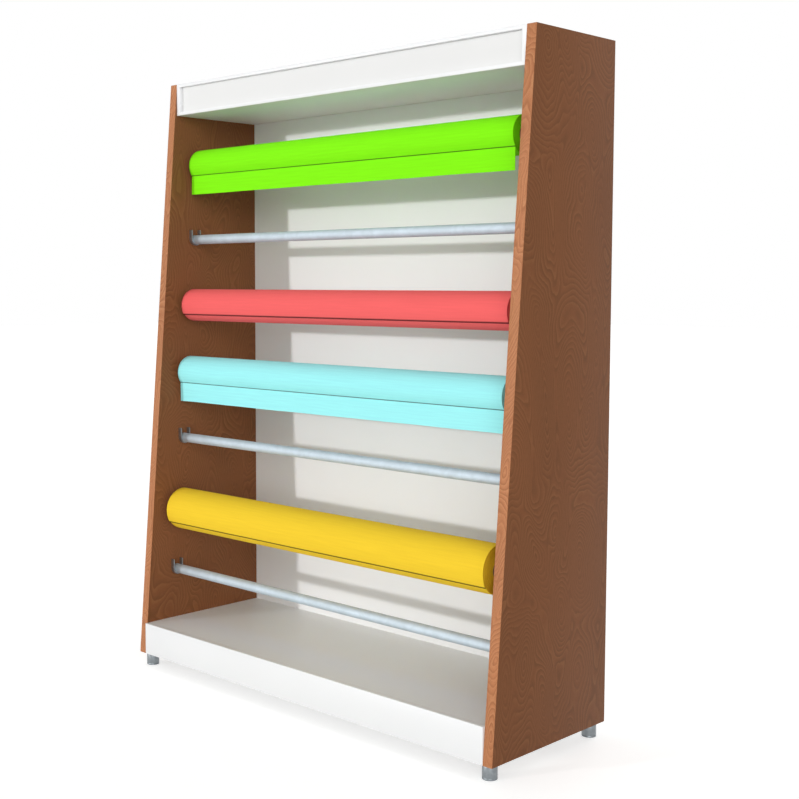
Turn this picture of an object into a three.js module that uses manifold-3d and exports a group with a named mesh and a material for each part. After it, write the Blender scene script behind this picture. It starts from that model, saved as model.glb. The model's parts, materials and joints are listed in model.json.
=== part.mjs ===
// Fabric roll display rack: two slanted side panels carry a back panel, a base
// box, a header box and seven rows of round bars that rest in open hooks.
// Four bars carry a roll of fabric on a cardboard core.
// Millimetres, +Z up. The origin is on the floor at the middle of the footprint,
// and the open front faces -Y.
import * as THREE from "three";
import { mergeVertices } from "three/addons/utils/BufferGeometryUtils.js";
import Module from "manifold-3d";

const wasm = await Module();
wasm.setup();

// Carcass
const BODY_WIDTH = 1460;
const BODY_HEIGHT = 1850;
const BASE_DEPTH = 500;
const TOP_DEPTH = 350;
const SIDE_THICKNESS = 30;
const EDGE_STRIP_THICKNESS = 2;
const BACK_THICKNESS = 15;
const BOARD_THICKNESS = 18;
const BASE_HEIGHT = 100;

// Header box and its sign frame
const HEADER_HEIGHT = 100;
const FRAME_SIDE_WIDTH = 15;
const FRAME_RAIL_HEIGHT = 10;
const SIGN_RECESS = 12;
const SIGN_THICKNESS = 4;
const SIGN_LAP = 5;

// Feet
const FOOT_DIAMETER = 40;
const FOOT_HEIGHT = 40;
const FOOT_INSET = 30;

// Bars and the flat strip hooks that they rest in
const BAR_DIAMETER = 30;
const BAR_WALL = 1.5;
const BAR_END_PLAY = 4;
const HOOK_STRIP_THICKNESS = 3;
const HOOK_STRIP_WIDTH = 15;
const HOOK_ARM_RISE = 32;
const HOOK_SIDE_PLAY = 0.5;
const HOOK_SETBACK = 106;

// Countersunk screws through the back panel into the boards' rear edges
const SCREW_LENGTH = 50;
const SCREW_SHANK_DIAMETER = 4;
const SCREW_HEAD_DIAMETER = 8;
const SCREW_HEAD_DEPTH = 3;
// Their places as shares of the inner half width
const SCREW_SHARES = [-0.9, -0.3, 0.3, 0.9];

// Rolls of fabric
const SMALL_ROLL_DIAMETER = 105;
const LARGE_ROLL_DIAMETER = 135;
const CORE_PLAY = 8;
const CORE_WALL = 4;
const CORE_END_PROUD = 2;
// From the hooks to the cloth's edges; two of the cloths are narrower than the others
const ROLL_LEFT_GAP = 5;
const WIDE_ROLL_RIGHT_GAP = 35;
const NARROW_ROLL_RIGHT_GAP = 50;
const CLOTH_THICKNESS = 1.2;
const CLOTH_END_ANGLE = THREE.MathUtils.degToRad(36);
const TAIL_DROP = 63;

// Gap that a piece keeps to what it rests on or fits in
const SEAT_GAP = 0.3;
// How far a cutter runs past what it cuts
const CUT_OVERRUN = 5;

// Facets of round shapes
const BAR_FACETS = 32;
const HOOK_FACETS = 12;
const FOOT_FACETS = 40;
const ROLL_FACETS = 64;
const SCREW_FACETS = 16;

// The rows from the top down: the share of the clear height between shelf and
// header at which the hooks' round seats are centred, and what the bar carries.
const ROWS = [
  {
    levelShare: 0.9055,
    cloth: "green",
    diameter: SMALL_ROLL_DIAMETER,
    rightGap: NARROW_ROLL_RIGHT_GAP,
    tail: true,
  },
  { levelShare: 0.7582 },
  {
    levelShare: 0.6303,
    cloth: "red",
    diameter: SMALL_ROLL_DIAMETER,
    rightGap: WIDE_ROLL_RIGHT_GAP,
  },
  {
    levelShare: 0.497,
    cloth: "cyan",
    diameter: SMALL_ROLL_DIAMETER,
    rightGap: WIDE_ROLL_RIGHT_GAP,
    tail: true,
  },
  { levelShare: 0.363 },
  {
    levelShare: 0.2242,
    cloth: "yellow",
    diameter: LARGE_ROLL_DIAMETER,
    rightGap: NARROW_ROLL_RIGHT_GAP,
  },
  { levelShare: 0.1 },
];

// Places that follow from the sizes
const halfWidth = BODY_WIDTH / 2;
const innerX = halfWidth - SIDE_THICKNESS;
const rearY = BASE_DEPTH / 2;
const baseFrontY = rearY - BASE_DEPTH;
const topFrontY = rearY - TOP_DEPTH;
const backFaceY = rearY - BACK_THICKNESS;
const bottomZ = FOOT_HEIGHT;
const topZ = bottomZ + BODY_HEIGHT;
const shelfZ = bottomZ + BASE_HEIGHT;
const headerZ = topZ - HEADER_HEIGHT;
const frameBackY = topFrontY + SIGN_RECESS + SIGN_THICKNESS;
const screwRows = {
  shelf: shelfZ - BOARD_THICKNESS / 2,
  header_bottom: headerZ + BOARD_THICKNESS / 2,
  header_top: topZ - BOARD_THICKNESS / 2,
};
const hookInnerRadius = BAR_DIAMETER / 2 + HOOK_SIDE_PLAY;
const hookOuterRadius = hookInnerRadius + HOOK_STRIP_THICKNESS;
const barSink = HOOK_SIDE_PLAY - SEAT_GAP;
const coreBoreRadius = (BAR_DIAMETER + CORE_PLAY) / 2;
const coreRadius = coreBoreRadius + CORE_WALL;
const rollBoreRadius = coreRadius + SEAT_GAP;
const rollSink = CORE_PLAY / 2 - SEAT_GAP;
const hookTipX = innerX - HOOK_STRIP_WIDTH;

// The slanted front edge's place at a height
function frontY(z) {
  return baseFrontY + ((topFrontY - baseFrontY) * (z - bottomZ)) / BODY_HEIGHT;
}

const finishes = {
  veneer: new THREE.MeshStandardMaterial({ color: 0x7f563c, roughness: 0.55 }),
  edge: new THREE.MeshStandardMaterial({ color: 0xc5845f, roughness: 0.55 }),
  white: new THREE.MeshStandardMaterial({ color: 0xf4f4f2, roughness: 0.5 }),
  aluminium: new THREE.MeshStandardMaterial({ color: 0xc8d2dc, roughness: 0.35, metalness: 0.9 }),
  zinc: new THREE.MeshStandardMaterial({ color: 0x8c9298, roughness: 0.4, metalness: 0.9 }),
  steel: new THREE.MeshStandardMaterial({ color: 0x8f979b, roughness: 0.35, metalness: 0.9 }),
  card: new THREE.MeshStandardMaterial({ color: 0xb08d62, roughness: 0.9 }),
  green: new THREE.MeshStandardMaterial({ color: 0x89ff00, roughness: 0.85 }),
  red: new THREE.MeshStandardMaterial({ color: 0xff6b6b, roughness: 0.85 }),
  cyan: new THREE.MeshStandardMaterial({ color: 0xa5ffff, roughness: 0.85 }),
  yellow: new THREE.MeshStandardMaterial({ color: 0xffd932, roughness: 0.85 }),
};

const rack = new THREE.Group();

function place(name, geometry, finish, parent = rack) {
  const mesh = new THREE.Mesh(geometry, finish);
  mesh.name = name;
  parent.add(mesh);
  return mesh;
}

// A board between two corners
function board(x, y, z) {
  const geometry = new THREE.BoxGeometry(x[1] - x[0], y[1] - y[0], z[1] - z[0]);
  return geometry.translate((x[0] + x[1]) / 2, (y[0] + y[1]) / 2, (z[0] + z[1]) / 2);
}

// A section drawn in Y and Z and pushed along X
const acrossX = new THREE.Matrix4().makeBasis(
  new THREE.Vector3(0, 1, 0),
  new THREE.Vector3(0, 0, 1),
  new THREE.Vector3(1, 0, 0),
);

function pushAlongX(section, x, facets = 1) {
  const geometry = new THREE.ExtrudeGeometry(section, {
    depth: x[1] - x[0],
    bevelEnabled: false,
    curveSegments: facets,
  });
  return geometry.applyMatrix4(acrossX).translate(x[0], 0, 0);
}

function solid(geometry) {
  const bare = geometry.clone();
  bare.deleteAttribute("normal");
  bare.deleteAttribute("uv");
  const merged = mergeVertices(bare);
  return new wasm.Manifold(
    new wasm.Mesh({
      numProp: 3,
      vertProperties: merged.attributes.position.array,
      triVerts: new Uint32Array(merged.index.array),
    }),
  );
}

function cutOut(body, ...cutters) {
  const result = cutters.reduce((left, cutter) => left.subtract(solid(cutter)), solid(body));
  const { vertProperties, triVerts } = result.getMesh();
  const geometry = new THREE.BufferGeometry();
  geometry.setAttribute("position", new THREE.BufferAttribute(vertProperties, 3));
  geometry.setIndex(new THREE.BufferAttribute(triVerts, 1));
  geometry.computeVertexNormals();
  return geometry;
}

function bore(radius) {
  return new THREE.Path().absarc(0, 0, radius, 0, 2 * Math.PI, true);
}

function ring(outerRadius, innerRadius) {
  const section = new THREE.Shape().absarc(0, 0, outerRadius, 0, 2 * Math.PI);
  section.holes.push(bore(innerRadius));
  return section;
}

// Veneered side panel with its front edge cut on the slant, behind the edge strip
function sidePanelSection() {
  const setback = EDGE_STRIP_THICKNESS;
  return new THREE.Shape([
    new THREE.Vector2(baseFrontY + setback, bottomZ),
    new THREE.Vector2(rearY, bottomZ),
    new THREE.Vector2(rearY, topZ),
    new THREE.Vector2(topFrontY + setback, topZ),
  ]);
}

// Edge strip glued along the slanted front edge
function edgeStripSection() {
  const back = EDGE_STRIP_THICKNESS;
  return new THREE.Shape([
    new THREE.Vector2(baseFrontY, bottomZ),
    new THREE.Vector2(baseFrontY + back, bottomZ),
    new THREE.Vector2(topFrontY + back, topZ),
    new THREE.Vector2(topFrontY, topZ),
  ]);
}

function addSides() {
  const spans = { left: [-halfWidth, -innerX], right: [innerX, halfWidth] };
  for (const [side, x] of Object.entries(spans)) {
    place(`${side}_side_panel`, pushAlongX(sidePanelSection(), x), finishes.veneer);
    place(`${side}_front_edge_strip`, pushAlongX(edgeStripSection(), x), finishes.edge);
  }
}

// A screw with its head flush with the rear face. With a gap it is the cutter
// of its hole, which runs out through that face.
function screwGeometry(gap = 0) {
  const shank = SCREW_SHANK_DIAMETER / 2 + gap;
  const head = SCREW_HEAD_DIAMETER / 2 + gap;
  const tip = -SCREW_LENGTH - gap;
  const mouth = gap > 0 ? CUT_OVERRUN : 0;
  const profile = [
    new THREE.Vector2(0, tip),
    new THREE.Vector2(shank, tip + shank),
    new THREE.Vector2(shank, -SCREW_HEAD_DEPTH),
    new THREE.Vector2(head, 0),
  ];
  if (gap > 0) profile.push(new THREE.Vector2(head, mouth));
  profile.push(new THREE.Vector2(0, mouth));
  return new THREE.LatheGeometry(profile, SCREW_FACETS);
}

function screwHoles(z) {
  return SCREW_SHARES.map((share) => screwGeometry(SEAT_GAP).translate(share * innerX, rearY, z));
}

function addScrews() {
  for (const [row, z] of Object.entries(screwRows)) {
    SCREW_SHARES.forEach((share, index) => {
      const screw = place(`back_screw_${row}_${index + 1}`, screwGeometry(), finishes.zinc);
      screw.position.set(share * innerX, rearY, z);
    });
  }
}

// Back panel, base shelf and the toe board that closes the base in front
function addBackAndBase() {
  const x = [-innerX, innerX];
  const toeBackY = baseFrontY + BOARD_THICKNESS;
  const back = board(x, [backFaceY, rearY], [bottomZ, topZ]);
  const toe = board(x, [baseFrontY, toeBackY], [bottomZ, shelfZ]);
  const shelf = board(x, [toeBackY, backFaceY], [shelfZ - BOARD_THICKNESS, shelfZ]);
  place("back_panel", cutOut(back, ...Object.values(screwRows).flatMap(screwHoles)), finishes.white);
  place("toe_board", toe, finishes.white);
  place("base_shelf", cutOut(shelf, ...screwHoles(screwRows.shelf)), finishes.white);
}

// Front frame of the header, open in front, with a rebate behind for the sign
function headerFrameGeometry() {
  const openX = innerX - FRAME_SIDE_WIDTH;
  const openZ = [headerZ + FRAME_RAIL_HEIGHT, topZ - FRAME_RAIL_HEIGHT];
  const lap = SIGN_LAP + SEAT_GAP;
  const lipY = topFrontY + SIGN_RECESS;
  const body = board([-innerX, innerX], [topFrontY, frameBackY], [headerZ, topZ]);
  const opening = board([-openX, openX], [topFrontY - CUT_OVERRUN, frameBackY + CUT_OVERRUN], openZ);
  const rebate = board(
    [-openX - lap, openX + lap],
    [lipY, frameBackY + CUT_OVERRUN],
    [openZ[0] - lap, openZ[1] + lap],
  );
  return cutOut(body, opening, rebate);
}

// Header box: sign frame, blank sign behind its lip, top and bottom boards
function addHeader() {
  const x = [-innerX, innerX];
  const signX = innerX - FRAME_SIDE_WIDTH + SIGN_LAP;
  const signZ = [headerZ + FRAME_RAIL_HEIGHT - SIGN_LAP, topZ - FRAME_RAIL_HEIGHT + SIGN_LAP];
  const sign = board([-signX, signX], [topFrontY + SIGN_RECESS, frameBackY], signZ);
  const depth = [frameBackY, backFaceY];
  const top = board(x, depth, [topZ - BOARD_THICKNESS, topZ]);
  const bottom = board(x, depth, [headerZ, headerZ + BOARD_THICKNESS]);
  place("header_frame", headerFrameGeometry(), finishes.white);
  place("header_sign_panel", sign, finishes.white);
  place("header_top_board", cutOut(top, ...screwHoles(screwRows.header_top)), finishes.white);
  place("header_bottom_board", cutOut(bottom, ...screwHoles(screwRows.header_bottom)), finishes.white);
}

// Round metal feet under the four lower corners
function addFeet() {
  const radius = FOOT_DIAMETER / 2;
  const footX = halfWidth - FOOT_INSET;
  const sides = { left: -footX, right: footX };
  const ends = { front: baseFrontY + FOOT_INSET, rear: rearY - FOOT_INSET };
  for (const [end, y] of Object.entries(ends)) {
    for (const [side, x] of Object.entries(sides)) {
      const leg = new THREE.CylinderGeometry(radius, radius, FOOT_HEIGHT, FOOT_FACETS);
      const mesh = place(`foot_${end}_${side}`, leg.rotateX(Math.PI / 2), finishes.steel);
      mesh.position.set(x, y, FOOT_HEIGHT / 2);
    }
  }
}

// Flat strip bent to a U, open at the top, centred on its round seat
function hookSection() {
  const outer = hookOuterRadius;
  const inner = hookInnerRadius;
  const section = new THREE.Shape();
  section.moveTo(-outer, HOOK_ARM_RISE);
  section.lineTo(-outer, 0);
  section.absarc(0, 0, outer, Math.PI, 2 * Math.PI);
  section.lineTo(outer, HOOK_ARM_RISE);
  section.lineTo(inner, HOOK_ARM_RISE);
  section.lineTo(inner, 0);
  section.absarc(0, 0, inner, 2 * Math.PI, Math.PI, true);
  section.lineTo(-inner, HOOK_ARM_RISE);
  section.closePath();
  return section;
}

// Section of a wound roll: the outermost layer ends in a step low on the front
function woundSection(radius) {
  const start = Math.PI + CLOTH_END_ANGLE;
  const points = [];
  for (let i = 0; i <= ROLL_FACETS; i++) {
    const turn = i / ROLL_FACETS;
    const angle = start + turn * 2 * Math.PI;
    const r = radius - CLOTH_THICKNESS * (1 - turn);
    points.push(new THREE.Vector2(r * Math.cos(angle), r * Math.sin(angle)));
  }
  const section = new THREE.Shape(points);
  section.holes.push(bore(rollBoreRadius));
  return section;
}

// Section of the cloth that hangs from the line where it leaves the roll
function tailSection(radius) {
  const faceY = -radius * Math.cos(CLOTH_END_ANGLE);
  const innerY = faceY + CLOTH_THICKNESS;
  const clear = radius + SEAT_GAP;
  const under = (y) => -Math.sqrt(clear * clear - y * y);
  const hemZ = -radius * Math.sin(CLOTH_END_ANGLE) - TAIL_DROP;
  return new THREE.Shape([
    new THREE.Vector2(faceY, hemZ),
    new THREE.Vector2(innerY, hemZ),
    new THREE.Vector2(innerY, under(innerY)),
    new THREE.Vector2(faceY, under(faceY)),
  ]);
}

function addRoll({ cloth, diameter, rightGap, tail }, barGroup) {
  const rollGroup = new THREE.Group();
  rollGroup.position.z = -rollSink;
  barGroup.add(rollGroup);
  const radius = diameter / 2;
  const clothX = [-hookTipX + ROLL_LEFT_GAP, hookTipX - rightGap];
  const coreX = [clothX[0] - CORE_END_PROUD, clothX[1] + CORE_END_PROUD];
  // The outermost layer of a roll with a tail leaves it there, so that roll is round
  const section = tail ? ring(radius, rollBoreRadius) : woundSection(radius);
  const wound = pushAlongX(section, clothX, ROLL_FACETS / 2);
  const core = pushAlongX(ring(coreRadius, coreBoreRadius), coreX, BAR_FACETS / 2);
  place(`${cloth}_fabric_roll`, wound, finishes[cloth], rollGroup);
  place(`${cloth}_roll_core`, core, finishes.card, rollGroup);
  if (tail) {
    place(`${cloth}_fabric_tail`, pushAlongX(tailSection(radius), clothX), finishes[cloth], rollGroup);
  }
}

// One row: a hook on each side panel, the bar in them and the roll on the bar
function addRow(row, number) {
  const group = new THREE.Group();
  const seatZ = shelfZ + row.levelShare * (headerZ - shelfZ);
  group.position.set(0, frontY(seatZ) + HOOK_SETBACK, seatZ);
  rack.add(group);
  const hookSpans = { left: [-innerX, -hookTipX], right: [hookTipX, innerX] };
  for (const [side, x] of Object.entries(hookSpans)) {
    const hook = pushAlongX(hookSection(), x, HOOK_FACETS);
    place(`row_${number}_hook_${side}`, hook, finishes.zinc, group);
  }
  const barGroup = new THREE.Group();
  barGroup.position.z = -barSink;
  group.add(barGroup);
  const endX = innerX - BAR_END_PLAY;
  const barSection = ring(BAR_DIAMETER / 2, BAR_DIAMETER / 2 - BAR_WALL);
  const bar = pushAlongX(barSection, [-endX, endX], BAR_FACETS / 2);
  place(`row_${number}_bar`, bar, finishes.aluminium, barGroup);
  if (row.cloth) addRoll(row, barGroup);
}

addSides();
addBackAndBase();
addHeader();
addScrews();
addFeet();
ROWS.forEach((row, index) => addRow(row, index + 1));

export default rack;
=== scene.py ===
"""Fabric roll display rack, finished around its fixed frame.

Each operator models one group of like pieces at the places that the frame gives. Lengths are
metres, +Z is up, the open front faces -Y, and every finished piece has its place in its mesh.
"""

import json
import math
import random

import bmesh
import bpy
from bpy.props import FloatProperty, FloatVectorProperty, PointerProperty
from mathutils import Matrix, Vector

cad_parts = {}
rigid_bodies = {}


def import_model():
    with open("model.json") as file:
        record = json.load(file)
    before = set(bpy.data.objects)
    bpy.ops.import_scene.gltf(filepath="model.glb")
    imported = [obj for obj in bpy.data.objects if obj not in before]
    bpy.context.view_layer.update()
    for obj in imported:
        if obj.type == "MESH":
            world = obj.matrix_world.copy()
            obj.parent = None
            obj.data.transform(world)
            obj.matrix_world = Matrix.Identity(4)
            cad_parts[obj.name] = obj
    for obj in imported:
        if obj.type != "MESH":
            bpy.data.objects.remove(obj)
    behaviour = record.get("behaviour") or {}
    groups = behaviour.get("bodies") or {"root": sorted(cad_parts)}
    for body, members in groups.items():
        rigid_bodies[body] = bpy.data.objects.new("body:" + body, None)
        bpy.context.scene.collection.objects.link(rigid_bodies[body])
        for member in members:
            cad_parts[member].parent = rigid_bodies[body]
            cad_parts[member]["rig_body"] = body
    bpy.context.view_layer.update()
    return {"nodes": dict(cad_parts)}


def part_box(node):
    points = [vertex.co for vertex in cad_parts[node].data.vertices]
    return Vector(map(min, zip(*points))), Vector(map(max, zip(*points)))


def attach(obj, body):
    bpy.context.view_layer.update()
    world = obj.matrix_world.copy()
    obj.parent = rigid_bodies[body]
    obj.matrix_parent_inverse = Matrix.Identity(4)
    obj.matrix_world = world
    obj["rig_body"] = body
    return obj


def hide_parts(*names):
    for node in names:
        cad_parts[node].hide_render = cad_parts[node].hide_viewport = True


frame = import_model()

bl_info = {
    "name": "Fabric roll display rack",
    "version": (1, 0, 0),
    "blender": (4, 5, 0),
    "location": "View3D > Sidebar > Fabric Rack",
    "description": "Models a shop rack with seven bars, four of them with rolls of fabric",
    "category": "Add Mesh",
}

MM = 0.001
TOUCH = 0.01 * MM  # Places closer than this are the same
PLAY = 0.3 * MM  # Air round a piece that fits into another
ROUND_SIDES = 96  # Sides of a bar, a core or a foot
SIDES = ("left", "right")
ROWS = range(1, 8)
CLOTHS = ("green", "red", "cyan", "yellow")
CLOTHS_WITH_TAIL = ("green", "cyan")
SCREWS = [
    f"back_screw_{row}_{n}"
    for row in ("shelf", "header_bottom", "header_top")
    for n in range(1, 5)
]
# The range of nearly all values of a noise, as inputs of a Map Range
NOISE_RANGE = {"From Min": 0.3, "From Max": 0.7}


def linear(code):
    """An sRGB hex value as the linear colour that a shader takes."""
    channels = [int(code[i : i + 2], 16) / 255 for i in (1, 3, 5)]
    return [c / 12.92 if c <= 0.04045 else ((c + 0.055) / 1.055) ** 2.4 for c in channels]


def colour(name, description, code):
    """A colour that a user would change."""
    return FloatVectorProperty(
        name=name, description=description, subtype="COLOR", min=0, max=1, default=linear(code)
    )


def length(name, description, metres):
    """A size that a user would change."""
    return FloatProperty(name=name, description=description, unit="LENGTH", min=0, default=metres)


def angle(name, description, degrees):
    """An angle that a user would change."""
    return FloatProperty(
        name=name, description=description, subtype="ANGLE", default=math.radians(degrees)
    )


def number(name, description, value):
    """A strength or share that a user would change."""
    return FloatProperty(name=name, description=description, default=value)


def vector(name, description, subtype, value):
    """A place or direction that a user would change."""
    return FloatVectorProperty(name=name, description=description, subtype=subtype, default=value)


class RackBoards(bpy.types.PropertyGroup):
    """The veneered sides and the white boards"""

    # Veneer tones are painted shade: the edge strips' wood darkened as the side faces stood in
    # shade
    veneer: colour("Veneer", "Ground colour of the side panels' veneer", "#865434")
    veneer_light: colour("Veneer, light rings", "Pale growth rings in the veneer", "#8f5e3b")
    veneer_dark: colour("Veneer, dark rings", "Dark growth rings and pores", "#794d2f")
    strip: colour("Edge strip", "Ground colour of the strips on the front edges", "#be7e56")
    strip_light: colour("Edge strip, light grain", "Pale grain of the edge strips", "#c68a60")
    strip_dark: colour("Edge strip, dark grain", "Dark grain of the edge strips", "#a96d48")
    white: colour("White facing", "Melamine facing of the boards", "#f4f5f6")
    sign: colour("Sign sheet", "Blank sheet behind the header frame", "#ececeb")
    figure_width: length("Figure width", "One eye of the veneer's figure, across", 125 * MM)
    figure_height: length("Figure height", "One eye of the veneer's figure, upwards", 290 * MM)
    ring_spacing: length("Ring spacing", "Growth rings of the veneer, one to the next", 7.5 * MM)
    edge_radius: length("Edge radius", "Eased edges of boards and panels", 1 * MM)
    rail_width: length("Rail width", "Upper and lower rail of the header frame", 10 * MM)
    stile_width: length("Stile width", "Upright ends of the header frame", 15 * MM)


class RackMetal(bpy.types.PropertyGroup):
    """Bars, hooks, feet and screws"""

    aluminium: colour("Aluminium", "Satin anodised bars", "#c6d0d7")
    # Zinc: partly the plating's own grey, partly painted shade for the side panels' shade on the
    # hooks
    zinc: colour("Zinc", "Zinc plated hooks and screws", "#a9afb4")
    steel: colour("Steel", "Brushed steel feet", "#8c9296")
    bar_wall: length("Bar wall", "Wall of the tubular bars", 1.5 * MM)
    strip_thickness: length("Hook strip", "Thickness of the hooks' flat strip", 3 * MM)
    tip_radius: length("Hook tips", "Rounded corners of the hooks' arms", 3 * MM)
    rim_radius: length("Rim radius", "Broken edges of bars, hooks and feet", 0.4 * MM)


class RackCloth(bpy.types.PropertyGroup):
    """The rolls of fabric and their cores"""

    green: colour("Green cloth", "Top roll", "#88fc05")
    red: colour("Red cloth", "Second roll", "#ff6a6a")
    cyan: colour("Cyan cloth", "Third roll", "#a6fbff")
    yellow: colour("Yellow cloth", "Lowest roll", "#ffd430")
    card: colour("Cardboard", "Spiral wound tube inside a roll", "#b08d62")
    layer: length("Layer", "One layer of cloth to the next in a roll", 1.2 * MM)
    thickness: length("Thickness", "The cloth itself", 1.08 * MM)
    thread: length("Thread spacing", "One thread to the next, as drawn", 2.4 * MM)
    free_edge_lift: length("Free edge lift", "How far a cut end stands off its roll", 1.6 * MM)
    unevenness: length("Unevenness", "How far the outermost layer swells", 0.5 * MM)
    end_play: length("End play", "How far the layers' edges differ at a roll's ends", 1.6 * MM)
    tail_wave: length("Tail wave", "How far a hanging tail waves at its hem", 3 * MM)
    core_wall: length("Core wall", "Wall of the cardboard tube", 4 * MM)
    core_rim: length("Core rim", "Worn rims of the cardboard tube", 0.6 * MM)
    free_edge_angle: angle(
        "Free edge angle", "How far below a roll's front its end lies, or its tail leaves it", 36
    )


class RackStage(bpy.types.PropertyGroup):
    """Floor, lights and camera"""

    floor: colour("Floor", "Plain pale floor", "#e6e6e4")
    floor_size: length("Floor size", "Side of the square floor", 60)
    floor_glow: number("Floor glow", "What the lit floor lacks to white", 0.6)
    ambient_strength: number("Room light", "Even light from all sides", 0.39)
    key_strength: number("Key light", "Broad lamp from the left front", 1.18)
    key_softness: angle("Key softness", "Angle that the key light fills", 2.4)
    key_aim: vector("Key aim", "Way that the light goes", "DIRECTION", (0.462, 1.0, -0.149))
    fill_strength: number("Fill light", "Soft light from the right front", 1.39)
    fill_softness: angle("Fill softness", "Angle that the fill light fills", 40)
    fill_aim: vector("Fill aim", "Way that the light goes", "DIRECTION", (-1.0, 0.95, -0.2))
    back_strength: number("Back light", "Soft light on the back", 0.68)
    back_softness: angle("Back softness", "Angle that the back light fills", 30)
    back_aim: vector("Back aim", "Way that the light goes", "DIRECTION", (0.35, -1.0, -0.3))
    camera_place: vector(
        "Camera", "Where the camera stands", "TRANSLATION", (2.671, -2.743, 1.249)
    )
    camera_turn: angle("Camera turn", "Turn to the left from looking along +Y", 45.043)
    camera_dip: angle("Camera dip", "Tilt below level", 4.492)
    lens: number("Lens", "Focal length in millimetres, for a frame 36 mm wide", 58.19)
    shift_across: number("Shift across", "Share of the frame that the lens is shifted", 0.0815)
    shift_up: number("Shift up", "Share of the frame that the lens is shifted", -0.019)


GROUPS = {
    "rack_boards": RackBoards,
    "rack_metal": RackMetal,
    "rack_cloth": RackCloth,
    "rack_stage": RackStage,
}


# Nodes and materials


def feed(node, inputs):
    """Sets a node's inputs to values, or links them to the outputs that feed them."""
    for name, value in inputs.items():
        if isinstance(value, bpy.types.NodeSocket):
            node.id_data.links.new(value, node.inputs[name])
        else:
            node.inputs[name].default_value = value


def add(tree, kind, inputs=None, out=0, **settings):
    """Adds a node with its settings and inputs, and gives its first output or the one asked for.
    Where names repeat, sockets go by number: 0 is a Mix node's factor, 6 and 7 are its colours,
    and 2 is the colour that it gives."""
    node = tree.nodes.new(f"ShaderNode{kind}")
    for name, value in settings.items():
        setattr(node, name, value)
    feed(node, inputs or {})
    return node.outputs[out]


def new_material(name):
    """An empty material, its node tree, its surface shader and Object coordinates."""
    material = bpy.data.materials.new(name)
    material.use_nodes = True
    tree = material.node_tree
    tree.nodes.clear()
    surface = add(tree, "BsdfPrincipled")
    tree.links.new(surface, tree.nodes.new("ShaderNodeOutputMaterial").inputs["Surface"])
    return material, tree, surface.node, add(tree, "TexCoord", out="Object")


def seen_directly(tree):
    """1 where the camera, a reflection or a clear thing shows a surface, else 0."""
    seen = add(tree, "LightPath", out="Is Camera Ray")
    rays = seen.node.outputs
    for ray in ("Is Glossy Ray", "Is Transmission Ray"):
        seen = add(tree, "Math", {0: seen, 1: rays[ray]}, operation="MAXIMUM")
    return seen


def opaque(rgb, factor=1.0):
    """A linear colour as a socket takes it, made darker or lighter by factor."""
    return [min(1.0, channel * factor) for channel in rgb] + [1.0]


def texture_surface(tree, shader, height, roughness, spread, strength, depth):
    """Lets a pattern of heights vary a surface's gloss by spread, and stand out by depth."""
    low, high = roughness - spread, roughness + spread
    gloss = add(tree, "MapRange", {"Value": height, **NOISE_RANGE, "To Min": low, "To Max": high})
    bump = add(tree, "Bump", {"Height": height, "Strength": strength, "Distance": depth})
    feed(shader, {"Roughness": gloss, "Normal": bump})


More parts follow.
